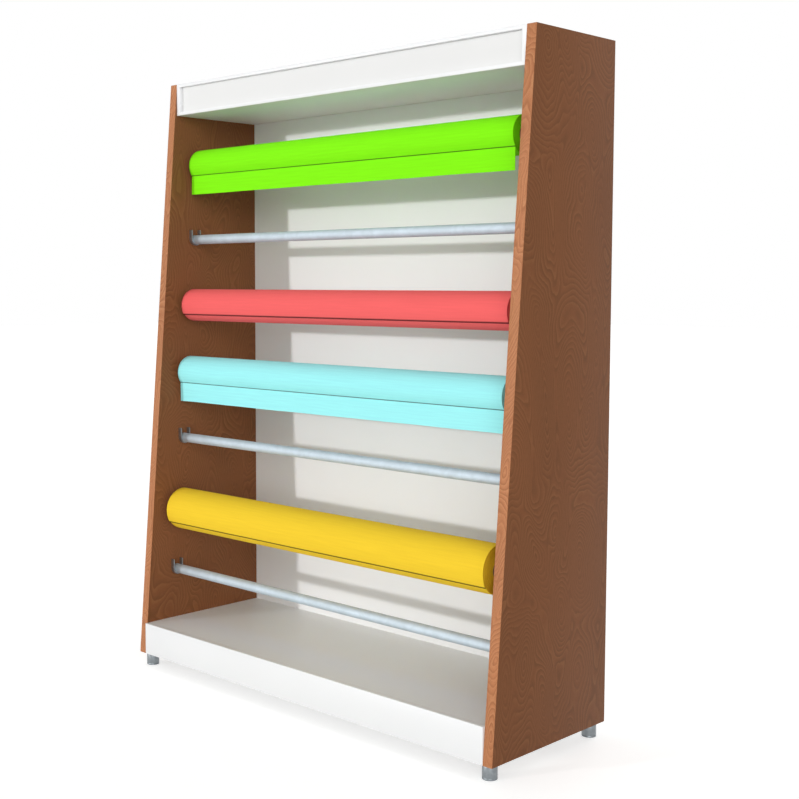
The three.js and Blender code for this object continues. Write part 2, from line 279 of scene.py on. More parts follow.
def figured_wood(name, tones, cell, spacing, tilt):
    """Wood cut across its swellings. The growth rings lie round eyes, one to a cell, and meet in
    points between them: each ring starts in a pale line and ends in a thin dark one."""
    ground, light, dark = tones
    width, height = cell
    material, tree, shader, place = new_material(name)
    turned = add(tree, "Mapping", {"Vector": place, "Rotation": (0, tilt, 0)})

    # The figure runs up the board and round its upright edges
    axes = add(tree, "SeparateXYZ", {"Vector": turned}).node.outputs
    across = add(tree, "Math", {0: axes["X"], 1: axes["Y"]}, operation="ADD")
    sheet = add(tree, "CombineXYZ", {"X": across, "Y": axes["Z"]})
    cells = add(tree, "Mapping", {"Vector": sheet, "Scale": (1 / width, 1 / height, 1)})

    # Eyes stray from their cells, and rings from a true round, by these shares of a cell
    eyes_stray, rings_stray = (0.8, 0.8, 0), 0.6
    drift = add(tree, "TexNoise", {"Vector": cells, "Scale": 0.8, "Detail": 0.0}, out="Color")
    swayed = add(
        tree, "VectorMath", {0: drift, 1: eyes_stray, 2: cells}, operation="MULTIPLY_ADD"
    )
    eyes = add(
        tree, "TexVoronoi", {"Vector": swayed, "Scale": 1.0, "Smoothness": 0.45},
        feature="SMOOTH_F1", voronoi_dimensions="2D",
    )
    wander = add(
        tree, "TexNoise", {"Vector": swayed, "Scale": 1.3, "Detail": 3.0, "Roughness": 0.36}
    )
    field = add(tree, "Math", {0: wander, 1: rings_stray, 2: eyes}, operation="MULTIPLY_ADD")
    count = add(tree, "Math", {0: field, 1: width / spacing}, operation="MULTIPLY")
    ring = add(tree, "Math", {0: count}, operation="FRACT")

    # Where in a ring each of its lines comes or goes, as shares of the ring's width
    pale_goes, dark_comes, dark_goes = (
        add(
            tree, "MapRange", {"Value": ring, "From Min": first, "From Max": last},
            interpolation_type=rise,
        )
        for first, last, rise in (
            (0.42, 0.05, "SMOOTHSTEP"), (0.45, 0.88, "SMOOTHSTEP"), (1.0, 0.9, "LINEAR")
        )
    )
    dark_line = add(tree, "Math", {0: dark_comes, 1: dark_goes}, operation="MULTIPLY")

    # The lines are strong in patches, and faint between them
    faint = 0.45
    patch = add(tree, "TexNoise", {"Vector": cells, "Scale": 1.7})
    strength = add(
        tree, "MapRange", {"Value": patch, "From Min": 0.36, "From Max": 0.64, "To Min": faint}
    )
    pale, deep = (
        add(tree, "Math", {0: line, 1: strength}, operation="MULTIPLY")
        for line in (pale_goes, dark_line)
    )

    # Real pores, 0.1 mm wide and 3 mm long, are too fine to show, so these are drawn coarser
    pore_width, pore_length, pore_depth = 0.7 * MM, 14 * MM, 0.15 * MM
    fibres = add(
        tree, "Mapping",
        {"Vector": turned, "Scale": (1 / pore_width, 1 / pore_width, 1 / pore_length)},
    )
    grain = add(
        tree, "TexNoise", {"Vector": fibres, "Scale": 1.0, "Detail": 3.0, "Roughness": 0.65}
    )
    pores = add(
        tree, "MapRange", {"Value": grain, "From Min": 0.54, "From Max": 0.66, "To Max": 0.6}
    )

    wood = opaque(ground)
    for share, tone in ((pale, opaque(light)), (deep, opaque(dark)), (pores, opaque(dark, 0.75))):
        wood = add(tree, "Mix", {0: share, 6: wood, 7: tone}, out=2, data_type="RGBA")
    broad = add(tree, "TexNoise", {"Vector": cells, "Scale": 0.5})
    value = add(tree, "MapRange", {"Value": broad, **NOISE_RANGE, "To Min": 0.94, "To Max": 1.07})
    rough = add(tree, "MapRange", {"Value": grain, **NOISE_RANGE, "To Min": 0.46, "To Max": 0.6})
    feed(shader, {
        "Base Color": add(tree, "HueSaturation", {"Color": wood, "Value": value}),
        "Roughness": rough,
        "Normal": add(
            tree, "Bump", {"Height": pores, "Strength": 0.2, "Distance": pore_depth}, invert=True
        ),
        "Specular IOR Level": 0.16,
    })
    return material


def veneer_in_painted_shade():
    """Burr veneer, sliced and pressed on, then satin lacquered: rings close round eyes. Its brown
    is painted shade: the lipping's wood, darkened as the side faces stood in shade.
    """
    boards = bpy.context.scene.rack_boards
    return figured_wood(
        "walnut_burr_veneer", (boards.veneer, boards.veneer_light, boards.veneer_dark),
        cell=(boards.figure_width, boards.figure_height), spacing=boards.ring_spacing, tilt=0,
    )


def edge_veneer():
    """Solid lipping, planed and lacquered: fine grain that slants across its narrow face."""
    boards = bpy.context.scene.rack_boards
    return figured_wood(
        "lacquered_cherry_lipping", (boards.strip, boards.strip_light, boards.strip_dark),
        cell=(70 * MM, 210 * MM), spacing=6 * MM, tilt=math.radians(-24),
    )


def coated_sheet(name, tone, grit, depth, roughness):
    """A pressed white sheet. Its grit, drawn coarser than the real one so that it shows, breaks
    up its gloss, and clouds a third of a metre across dull its white a little."""
    material, tree, shader, place = new_material(name)
    grain = add(tree, "TexNoise", {"Vector": place, "Scale": 1 / grit, "Roughness": 0.6})
    cloud = add(tree, "TexNoise", {"Vector": place, "Scale": 3.0})
    dulled = add(
        tree, "MapRange", {"Value": cloud, "From Min": 0.35, "From Max": 0.7, "To Max": 0.6}
    )
    tones = {0: dulled, 6: opaque(tone), 7: opaque(tone, 0.965)}
    feed(shader, {"Base Color": add(tree, "Mix", tones, out=2, data_type="RGBA")})
    texture_surface(tree, shader, grain, roughness, 0.06, strength=0.15, depth=depth)
    return material


def white_melamine():
    """Melamine faced chipboard, pressed against a pearl plate: white, hard and faintly pebbled."""
    tone = bpy.context.scene.rack_boards.white
    return coated_sheet(
        "white_melamine_facing", tone, grit=2.5 * MM, depth=0.1 * MM, roughness=0.42
    )


def sign_sheet():
    """Foamed PVC sign sheet: calendered, dead matt and a touch greyer than the boards."""
    tone = bpy.context.scene.rack_boards.sign
    return coated_sheet("foamed_pvc_sheet", tone, grit=1.2 * MM, depth=0.05 * MM, roughness=0.68)


def worked_metal(name, tone, bloom, stretch, patch, roughness, spread, depth):
    """Bare or plated metal: tool marks stretched one way, drawn coarser than real ones so that
    they show, under patches that are darker or paler by bloom."""
    material, tree, shader, place = new_material(name)
    lines = add(tree, "Mapping", {"Vector": place, "Scale": [1 / side for side in stretch]})
    marks = add(
        tree, "TexNoise", {"Vector": lines, "Scale": 1.0, "Detail": 3.0, "Roughness": 0.65}
    )
    patches = add(tree, "TexNoise", {"Vector": place, "Scale": 1 / patch, "Distortion": 0.6})
    worn = add(tree, "MapRange", {"Value": patches, "From Min": 0.38, "From Max": 0.66})
    tones = {0: worn, 6: opaque(tone, 1 - bloom), 7: opaque(tone, 1 + bloom / 2)}
    base = add(tree, "Mix", tones, out=2, data_type="RGBA")
    feed(shader, {"Base Color": base, "Metallic": 1.0})
    texture_surface(tree, shader, marks, roughness, spread, strength=0.3, depth=depth)
    return material


def aluminium():
    """Drawn aluminium tube, satin anodised: pale, cool, with faint die lines along its length."""
    return worked_metal(
        "satin_anodised_aluminium", bpy.context.scene.rack_metal.aluminium, bloom=0.05,
        stretch=(160 * MM, 1.5 * MM, 1.5 * MM), patch=30 * MM,
        roughness=0.76, spread=0.04, depth=0.03 * MM,
    )


def zinc():
    """Mild steel strip, bright zinc plated: blue grey with a dull crystalline bloom. Its grey is
    partly the plating's own and partly painted shade, set darker than the bars.
    """
    return worked_metal(
        "zinc_plated_steel", bpy.context.scene.rack_metal.zinc, bloom=0.16,
        stretch=(3 * MM, 3 * MM, 3 * MM), patch=7 * MM,
        roughness=0.46, spread=0.08, depth=0.06 * MM,
    )


def steel():
    """Stainless steel tube, turned and brushed: grey, streaked round the foot."""
    return worked_metal(
        "brushed_stainless_steel", bpy.context.scene.rack_metal.steel, bloom=0.1,
        stretch=(22 * MM, 22 * MM, 0.9 * MM), patch=12 * MM,
        roughness=0.36, spread=0.1, depth=0.05 * MM,
    )


def cardboard():
    """Kraft board, wound on a slant and glued: brown, fibrous, with the plies' seams across it."""
    tone = bpy.context.scene.rack_cloth.card
    ply_width, fibre_length, fibre_depth, slant = 55 * MM, 3 * MM, 0.2 * MM, math.radians(33)
    material, tree, shader, place = new_material("spiral_wound_cardboard")
    slanting = add(tree, "Mapping", {"Vector": place, "Rotation": (0, 0, slant)})
    # The wave's bands come every 2 pi / 20 of its own unit, which is one ply here
    bands = {"Vector": slanting, "Scale": 2 * math.pi / (20 * ply_width), "Distortion": 0.4}
    seam = add(tree, "TexWave", bands, out="Fac")
    line = add(tree, "MapRange", {"Value": seam, "From Min": 0.08, "From Max": 0.0})
    fibre = add(
        tree, "TexNoise",
        {"Vector": place, "Scale": 1 / fibre_length, "Detail": 4.0, "Roughness": 0.7},
    )
    board = opaque(tone, 0.78)
    for share, other in ((fibre, opaque(tone, 1.2)), (line, opaque(tone, 0.45))):
        board = add(tree, "Mix", {0: share, 6: board, 7: other}, out=2, data_type="RGBA")
    bump = add(tree, "Bump", {"Height": fibre, "Strength": 0.3, "Distance": fibre_depth})
    feed(shader, {"Base Color": board, "Roughness": 0.88, "Normal": bump})
    return material


def woven_cotton(name):
    """Plain woven, piece dyed cotton: matt, a little fuzzy, with uneven threads."""
    settings = bpy.context.scene.rack_cloth
    tone = getattr(settings, name)
    material, tree, shader, _ = new_material(f"{name}_woven_cotton")
    cloth = add(tree, "UVMap", uv_map="cloth")
    # A real thread spacing of 0.5 mm is too fine to show, so the threads are drawn coarser
    crowns = add(tree, "VectorMath", {0: cloth, 3: math.pi / settings.thread}, operation="SCALE")
    for step in ("SINE", "ABSOLUTE"):
        crowns = add(tree, "VectorMath", {0: crowns}, operation=step)
    crown = add(tree, "SeparateXYZ", {"Vector": crowns}).node.outputs
    squares = {"Vector": cloth, "Scale": 1 / settings.thread}
    over = add(tree, "TexChecker", squares, out="Fac")
    weave = add(tree, "Mix", {0: over, 2: crown["X"], 3: crown["Y"]})
    # Slubs are thick places in a thread: a few millimetres wide and a hand long
    slub_width, slub_length, weave_share, thread_height = 5 * MM, 140 * MM, 0.35, 0.5 * MM
    weft = add(tree, "Mapping", {"Vector": cloth, "Scale": (1 / slub_width, 1 / slub_length, 1)})
    slubs = add(tree, "TexNoise", {"Vector": weft, "Scale": 1.0, "Detail": 3.0, "Roughness": 0.6})
    height = add(tree, "Math", {0: weave, 1: weave_share, 2: slubs}, operation="MULTIPLY_ADD")
    shade = add(tree, "MapRange", {"Value": height, "From Min": 0.35, "From Max": 1.0})
    # The second share is painted shade: it darkens a tail's bend and a roll's lifted cut end
    fold = add(tree, "Attribute", out="Fac", attribute_name="fold")
    dyed = opaque(tone, 0.92)
    for share, other in ((shade, opaque(tone, 1.03)), (fold, opaque(tone, 0.1))):
        dyed = add(tree, "Mix", {0: share, 6: dyed, 7: other}, out=2, data_type="RGBA")
    bump = add(tree, "Bump", {"Height": height, "Strength": 0.35, "Distance": thread_height})
    feed(shader, {
        "Base Color": dyed, "Roughness": 0.88, "Normal": bump, "Specular IOR Level": 0.25,
        "Sheen Weight": 0.15, "Sheen Roughness": 0.5, "Sheen Tint": opaque(tone),
    })
    return material


# Modelling helpers


def settle(name):
    """Names the new primitive, and puts its place, turn and scale into its mesh."""
    bpy.ops.object.transform_apply()
    piece = bpy.context.active_object
    piece.name = piece.data.name = name
    return piece


def block(name, low, high):
    """A block between two corners, as a start."""
    centre = [(a + b) / 2 for a, b in zip(low, high)]
    reach = [b - a for a, b in zip(low, high)]
    bpy.ops.mesh.primitive_cube_add(size=1, location=centre, scale=reach)
    return settle(name)


def rod(name, low, high, axis):
    """A round rod in a box, along its axis (0 for X, 2 for Z), as a start."""
    bpy.ops.mesh.primitive_cylinder_add(
        vertices=ROUND_SIDES,
        radius=(high[1] - low[1]) / 2,
        depth=high[axis] - low[axis],
        location=[(a + b) / 2 for a, b in zip(low, high)],
        rotation=(0, math.pi / 2, 0) if axis == 0 else (0, 0, 0),
    )
    return settle(name)


def only(piece):
    """Makes a piece the one that the next operators work on."""
    bpy.ops.object.select_all(action="DESELECT")
    piece.select_set(True)
    bpy.context.view_layer.objects.active = piece


def pick(piece, kind, test):
    """In edit mode, selects the faces, edges or vertices whose every corner passes the test."""
    bpy.ops.mesh.select_mode(type=kind)
    bpy.ops.mesh.select_all(action="DESELECT")
    shape = bmesh.from_edit_mesh(piece.data)
    found = {"VERT": shape.verts, "EDGE": shape.edges, "FACE": shape.faces}[kind]
    for element in found:
        corners = [element] if kind == "VERT" else element.verts
        if all(test(corner.co) for corner in corners):
            element.select_set(True)
    bmesh.update_edit_mesh(piece.data)


def extrude(x=0, y=0, z=0):
    """In edit mode, extrudes what is selected and moves it."""
    bpy.ops.mesh.extrude_region_move(TRANSFORM_OT_translate={"value": (x, y, z)})


def near(value, target):
    """Whether two lengths are the same."""
    return abs(value - target) < TOUCH


def edit(piece):
    """Opens a piece in edit mode, with all of it selected."""
    only(piece)
    bpy.ops.object.mode_set(mode="EDIT")
    bpy.ops.mesh.select_all(action="SELECT")


def done():
    """Leaves edit mode."""
    bpy.ops.object.mode_set(mode="OBJECT")


def face_out(piece):
    """Turns every face of a closed piece outwards."""
    edit(piece)
    bpy.ops.mesh.normals_make_consistent()
    done()


def ease(piece, radius, segments=2):
    """Rounds a piece's sharp edges, and shades what is left smooth."""
    only(piece)
    bevel = piece.modifiers.new("eased edges", "BEVEL")
    bevel.width = radius
    bevel.segments = segments
    bevel.limit_method = "ANGLE"
    bpy.ops.object.modifier_apply(modifier=bevel.name)
    bpy.ops.object.shade_smooth_by_angle(angle=math.radians(32))


def copied(piece, name, offset):
    """A copy of a piece moved by offset, with a mesh of its own."""
    only(piece)
    bpy.ops.object.duplicate()
    bpy.ops.transform.translate(value=offset)
    return settle(name)


def middle(node):
    """The centre of a CAD node's box."""
    low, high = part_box(node)
    return (low + high) / 2


def dress(piece, material, node):
    """Gives a finished piece its material, and the body of the CAD node that it stands for."""
    piece.data.materials.append(material)
    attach(piece, frame["nodes"][node]["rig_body"])
    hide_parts(node)


def repeat(first, nodes, ending, material):
    """Copies the piece made at the first node to the other nodes, and dresses them all."""
    copies = [
        copied(first, f"{node}_{ending}", middle(node) - middle(nodes[0])) for node in nodes[1:]
    ]
    first.name = first.data.name = f"{nodes[0]}_{ending}"
    for node, piece in zip(nodes, [first, *copies]):
        dress(piece, material, node)


def slanted(name, low, high, slant, leans, radius):
    """A board whose top corners that pass the test lie further back by slant, with eased edges."""
    board = block(name, low, high)
    edit(board)
    pick(board, "VERT", leans)
    bpy.ops.transform.translate(value=(0, slant, 0))
    done()
    ease(board, radius)
    return board


def refinish(material, *nodes):
    """Gives CAD nodes whose shape is right a better material."""
    for node in nodes:
        frame["nodes"][node].material_slots[0].material = material


def tube(name, node, wall, rim):
    """A tube along X that fills a node's box, bored through, with broken rims."""
    low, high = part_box(node)
    centre, radius = (low + high) / 2, (high.y - low.y) / 2
    piece = rod(name, low, high, 0)
    edit(piece)
    for end in (low.x, high.x):
        pick(piece, "FACE", lambda co: near(co.x, end))
        bpy.ops.mesh.inset(thickness=wall)
    in_bore = radius - wall + 10 * TOUCH
    pick(piece, "FACE", lambda co: math.hypot(co.y - centre.y, co.z - centre.z) < in_bore)
    bpy.ops.mesh.bridge_edge_loops()
    done()
    face_out(piece)
    ease(piece, rim)
    return piece


# Operators


class RACK_OT_sides(bpy.types.Operator):
    """Models the slanted left panel and the lighter strip on its front edge, and copies both"""

    bl_idname = "rack.sides"
    bl_label = "Side Panels"

    def execute(self, context):
        radius = context.scene.rack_boards.edge_radius
        low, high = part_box("left_side_panel")
        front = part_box("left_front_edge_strip")[0]
        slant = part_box("header_frame")[0].y - front.y
        panel = slanted(
            "left_veneered_panel", low, high, slant,
            lambda co: near(co.y, low.y) and near(co.z, high.z), radius,
        )
        strip = slanted(
            "left_front_lipping", front, (high.x, low.y, high.z), slant,
            lambda co: near(co.z, high.z), radius,
        )
        offset = middle("right_side_panel") - middle("left_side_panel")
        right_panel = copied(panel, "right_veneered_panel", offset)
        right_strip = copied(strip, "right_front_lipping", offset)
        # The veneer is the lipping's wood in painted shade, so the two are shaded and lit copies
        veneer, lipping = veneer_in_painted_shade(), edge_veneer()
        for side, board, lip in (("left", panel, strip), ("right", right_panel, right_strip)):
            dress(board, veneer, f"{side}_side_panel")
            dress(lip, lipping, f"{side}_front_edge_strip")
        return {"FINISHED"}


class RACK_OT_boards(bpy.types.Operator):
    """Models the toe board and finishes the white boards that the frame already shapes"""

    bl_idname = "rack.boards"
    bl_label = "White Boards"

    def execute(self, context):
        facing = white_melamine()
        refinish(facing, "back_panel", "base_shelf", "header_top_board", "header_bottom_board")
        refinish(sign_sheet(), "header_sign_panel")
        toe = block("faced_toe_board", *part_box("toe_board"))
        ease(toe, context.scene.rack_boards.edge_radius)
        dress(toe, facing, "toe_board")
        return {"FINISHED"}


class RACK_OT_header_frame(bpy.types.Operator):
    """Models the header frame: an opening in front, and a rebate behind for the sign sheet"""

    bl_idname = "rack.header_frame"
    bl_label = "Header Frame"

    def execute(self, context):
        boards = context.scene.rack_boards
        low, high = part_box("header_frame")
        sheet_low, sheet_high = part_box("header_sign_panel")
        piece = block("faced_header_frame", low, high)
        edit(piece)

        def set_width(depth, was, wanted):
            """Moves the upright edges of the inset face in to the width wanted."""
            for sign in (-1, 1):
                pick(piece, "VERT", lambda co: near(co.y, depth) and near(co.x, sign * was))
                bpy.ops.transform.translate(value=(sign * (wanted - was), 0, 0))

        # The opening in front
        open_x = high.x - boards.stile_width
        pick(piece, "FACE", lambda co: near(co.y, low.y))
        bpy.ops.mesh.inset(thickness=boards.rail_width)
        set_width(low.y, high.x - boards.rail_width, open_x)

        # The rebate behind, as deep as the sign sheet and a little larger
        edge = high.z - sheet_high.z - PLAY
        rebate_x, rebate_z = sheet_high.x + PLAY, high.z - edge
        pick(piece, "FACE", lambda co: near(co.y, high.y))
        bpy.ops.mesh.inset(thickness=edge)
        set_width(high.y, high.x - edge, rebate_x)
        pick(
            piece, "FACE",
            lambda co: near(co.y, high.y)
            and abs(co.x) < rebate_x + TOUCH and abs(co.z) < rebate_z + TOUCH,
        )
        extrude(y=sheet_low.y - high.y)
        bpy.ops.mesh.inset(thickness=boards.rail_width - edge)

        # The two inner faces are joined by the lip's walls
        pick(piece, "FACE", lambda co: abs(co.x) < open_x + TOUCH and co.y < high.y - PLAY)
        bpy.ops.mesh.bridge_edge_loops()
        done()
        face_out(piece)
        ease(piece, boards.edge_radius / 2)
        facing = bpy.data.materials["white_melamine_facing"]
        dress(piece, facing, "header_frame")
        return {"FINISHED"}


class RACK_OT_screws(bpy.types.Operator):
    """Models one countersunk screw with a cross recess, and copies it along the back panel"""

    bl_idname = "rack.screws"
    bl_label = "Back Screws"

    def execute(self, context):
        low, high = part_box(SCREWS[0])
        centre, radius = (low + high) / 2, (high.x - low.x) / 2
        shank, head_depth, tip_share = radius / 2, 3 * MM, 0.1
        recess_depth, recess_width, recess_reach = 1.6 * MM, 1 * MM, radius * 0.62
        bpy.ops.mesh.primitive_cone_add(
            vertices=32, radius1=radius, radius2=shank, depth=head_depth,
            location=(centre.x, high.y - head_depth / 2, centre.z), rotation=(math.pi / 2, 0, 0),
        )
        first = settle("zinc_screw_pattern")
        edit(first)
        pick(first, "FACE", lambda co: near(co.y, high.y - head_depth))
        extrude(y=low.y + head_depth + shank - high.y)
        extrude(y=-shank)
        bpy.ops.transform.resize(value=(tip_share, 1, tip_share))
        done()
        face_out(first)
        mouth = Vector((centre.x, high.y, centre.z))
        for long_axis in (0, 2):
            reach = Vector((recess_width / 2, recess_depth, recess_width / 2))
            reach[long_axis] = recess_reach
            cutter = block("recess_cutter", mouth - reach, mouth + reach)
            only(first)
            cut = first.modifiers.new("recess", "BOOLEAN")
            cut.object = cutter
            bpy.ops.object.modifier_apply(modifier=cut.name)
            bpy.data.objects.remove(cutter)
        ease(first, 0.15 * MM, segments=1)
        repeat(first, SCREWS, "zinc", zinc())
        return {"FINISHED"}


class RACK_OT_feet(bpy.types.Operator):
    """Models one round steel foot with a groove above its sole, and copies it to the corners"""

    bl_idname = "rack.feet"
    bl_label = "Feet"

    def execute(self, context):
        nodes = [f"foot_{end}_{side}" for end in ("front", "rear") for side in SIDES]
        low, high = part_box(nodes[0])
        groove_low, groove_high, groove_depth = low.z + 4 * MM, low.z + 5.5 * MM, 0.8 * MM
        first = rod("steel_foot_pattern", low, high, 2)
        edit(first)
        for height in (groove_low, groove_high):
            bpy.ops.mesh.select_all(action="SELECT")
            bpy.ops.mesh.bisect(plane_co=(0, 0, height), plane_no=(0, 0, 1))
        pick(first, "FACE", lambda co: groove_low - TOUCH < co.z < groove_high + TOUCH)
        bpy.ops.mesh.extrude_region_shrink_fatten(
            TRANSFORM_OT_shrink_fatten={"value": -groove_depth}
        )
        done()
        face_out(first)
        ease(first, context.scene.rack_metal.rim_radius)
        repeat(first, nodes, "steel", steel())
        return {"FINISHED"}


class RACK_OT_bars(bpy.types.Operator):
    """Models one aluminium bar as a tube with broken rims, and copies it to every row"""

    bl_idname = "rack.bars"
    bl_label = "Bars"

    def execute(self, context):
        metal = context.scene.rack_metal
        nodes = [f"row_{row}_bar" for row in ROWS]
        first = tube("bar_pattern", nodes[0], metal.bar_wall, metal.rim_radius)
        repeat(first, nodes, "tube", aluminium())
        return {"FINISHED"}


class RACK_OT_hooks(bpy.types.Operator):
    """Bends one open hook from flat strip, and copies it to both ends of every row"""

    bl_idname = "rack.hooks"
    bl_label = "Hooks"

    def execute(self, context):
        metal = context.scene.rack_metal
        nodes = [f"row_{row}_hook_{side}" for row in ROWS for side in SIDES]
        low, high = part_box(nodes[0])
        thickness = metal.strip_thickness
        seat = Vector((low.x, (low.y + high.y) / 2, low.z + (high.y - low.y) / 2))
        arm = high.z - seat.z

        # The strip's end, drawn down one arm, bent round the seat and drawn up the other
        bpy.ops.mesh.primitive_plane_add(
            size=1, location=((low.x + high.x) / 2, low.y + thickness / 2, high.z)
        )
        bpy.context.active_object.scale = (high.x - low.x, thickness, 1)
        first = settle("hook_pattern")
        edit(first)
        extrude(z=-arm)
        bpy.ops.mesh.spin(steps=32, angle=math.pi, center=seat, axis=(-1, 0, 0))
        extrude(z=arm)
        bpy.ops.mesh.select_all(action="SELECT")
        bpy.ops.mesh.remove_doubles(threshold=TOUCH)

        # The arms' tips have their corners rounded off
        pick(first, "EDGE", lambda co: near(co.z, high.z))
        shape = bmesh.from_edit_mesh(first.data)
        for edge in shape.edges:
            start, end = edge.verts
            edge.select_set(edge.select and abs(start.co.y - end.co.y) > thickness / 2)
        bmesh.update_edit_mesh(first.data)
        bpy.ops.mesh.bevel(offset=metal.tip_radius, segments=5)
        done()
        face_out(first)
        ease(first, metal.rim_radius)
        repeat(first, nodes, "zinc", zinc())
        return {"FINISHED"}


class RACK_OT_cores(bpy.types.Operator):
    """Models one cardboard core as a tube, and copies it into every roll"""

    bl_idname = "rack.cores"
    bl_label = "Cardboard Cores"

    def execute(self, context):
        settings = context.scene.rack_cloth
        nodes = [f"{cloth}_roll_core" for cloth in CLOTHS]
        first = tube("core_pattern", nodes[0], settings.core_wall, settings.core_rim)
        repeat(first, nodes, "card", cardboard())
        return {"FINISHED"}


# Cloth. A row of points crosses the cloth, and rows follow each other along it. Each point
# holds its outer place, its inner place, how far along and across the cloth it is, and how
# much painted shade darkens it there.


def smooth(t):
    """An even rise from 0 to 1."""
    t = min(1.0, max(0.0, t))
    return t * t * (3 - 2 * t)


def waves(dice, shortest, longest):
    """A smooth uneven line along X as a sum of four waves, from 0 to 1."""
    parts = [
        (2 * math.pi / dice.uniform(shortest, longest), dice.uniform(0, 2 * math.pi))
        for _ in range(4)
    ]
    return lambda x: 0.5 + 0.5 * sum(math.sin(rate * x + start) for rate, start in parts) / 4


def cloth_piece(name, strips):
    """A piece of closed strips of cloth, with its UV map in metres of cloth."""
    places, faces, marks = [], [], []
    for rows in strips:
        start, across = len(places), len(rows[0])
        count = len(rows) * across
        for side in (0, 1):
            places += [point[side] for row in rows for point in row]
            marks += [point[2:] for row in rows for point in row]

        def at(side, i, j):
            return start + side * count + i * across + j

        last_row, last = len(rows) - 1, across - 1
        for i in range(last_row):
            for j in range(last):
                faces.append((at(0, i, j), at(0, i + 1, j), at(0, i + 1, j + 1), at(0, i, j + 1)))
                faces.append((at(1, i, j), at(1, i, j + 1), at(1, i + 1, j + 1), at(1, i + 1, j)))
        rim = [(0, j) for j in range(last)] + [(i, last) for i in range(last_row)]
        rim += [(last_row, last - j) for j in range(last)]
        rim += [(last_row - i, 0) for i in range(last_row)]
        for a, b in zip(rim, rim[1:] + rim[:1]):
            faces.append((at(0, *a), at(0, *b), at(1, *b), at(1, *a)))
    mesh = bpy.data.meshes.new(name)
    mesh.from_pydata(places, [], faces)
    uv_map = mesh.uv_layers.new(name="cloth")
    for loop in mesh.loops:
        uv_map.data[loop.index].uv = marks[loop.vertex_index][:2]
    fold = mesh.attributes.new("fold", "FLOAT", "POINT")
    fold.data.foreach_set("value", [mark[2] for mark in marks])
    piece = bpy.data.objects.new(name, mesh)
    bpy.context.collection.objects.link(piece)
    face_out(piece)
    bpy.ops.object.shade_smooth_by_angle(angle=math.radians(40))
    return piece


def wound_strips(settings, centre, ends, outer, bore, lift, seed):
    """The layers of a roll, wound so that its free end lies low on the front. The outermost
    layer is finer than the rest, swells a little along the roll and lifts at its free end."""
    dice = random.Random(seed)
    swell, raised = waves(dice, 0.25, 0.7), waves(dice, 0.3, 0.9)
    drift = [dice.uniform(0, 2 * math.pi) for _ in range(4)]
    free_end = math.pi + settings.free_edge_angle
    turns = (outer - bore) / settings.layer
    # Shares of a turn: over the first the cloth lifts, and at the second it starts to swell
    lifting, swelling = 0.07, 0.96
    # How far from the cut end painted shade darkens the cloth, besides the real shadow of its lift
    painted_shade_reach = 4 * MM
    slow, quick = 2.1, 5.3  # How fast the layers' edges wander from turn to turn

    def across(turn, shares):
        """The places across the cloth at a turn, where its two edges wander a little."""
        slack = [
            settings.end_play * smooth(turn)
            * (0.5 + 0.25 * math.sin(slow * turn + a) + 0.25 * math.sin(quick * turn + b))
            for a, b in (drift[:2], drift[2:])
        ]
        left, right = ends[0] + slack[0], ends[1] - slack[1]
        return [left + share * (right - left) for share in shares]

    def length_to(turn):
        """The cloth's length from its free end to a turn."""
        return 2 * math.pi * (outer * turn - settings.layer * turn * turn / 2)

    def row(turn, shares, fine):
        """The points across the cloth at a turn, counted inwards from its free end."""
        around, along = free_end - 2 * math.pi * turn, length_to(turn)
        points = []
        for x in across(turn, shares):
            radius = outer - settings.layer * turn
            if fine:
                swollen = smooth(4 * (swelling - turn)) * swell(x + 0.3 * turn)
                lifted = smooth(1 - turn / lifting) * (0.55 + 0.45 * raised(x))
                radius += settings.unevenness * swollen + lift * lifted
            # Painted shade near the cut end, on top of the real shadow that the lifted edge casts
            fold = smooth(1.6 - along / painted_shade_reach) if fine and lift else 0.0
            pair = [
                (x, centre.y + r * math.cos(around), centre.z + r * math.sin(around))
                for r in (radius, radius - settings.thickness)
            ]
            points.append((*pair, along, x, fold))
        return points

    # Steps to a turn, and columns across. The last steps, at the cut end, are parted in four
    fine_steps, coarse_steps, columns, last_steps, parts = 120, 48, 44, 3, 4
    even = [j / columns for j in range(columns + 1)]
    inner_count = int((turns - 1) * coarse_steps)
    inner = [row(turns - i / coarse_steps, (0.0, 1.0), False) for i in range(inner_count + 1)]
    outer_turn = [row(1.0 - i / fine_steps, even, True) for i in range(fine_steps - last_steps)]
    outer_turn += [
        row((last_steps - i / parts) / fine_steps, even, True)
        for i in range(last_steps * parts + 1)
    ]
    return [inner, outer_turn], length_to(turns)


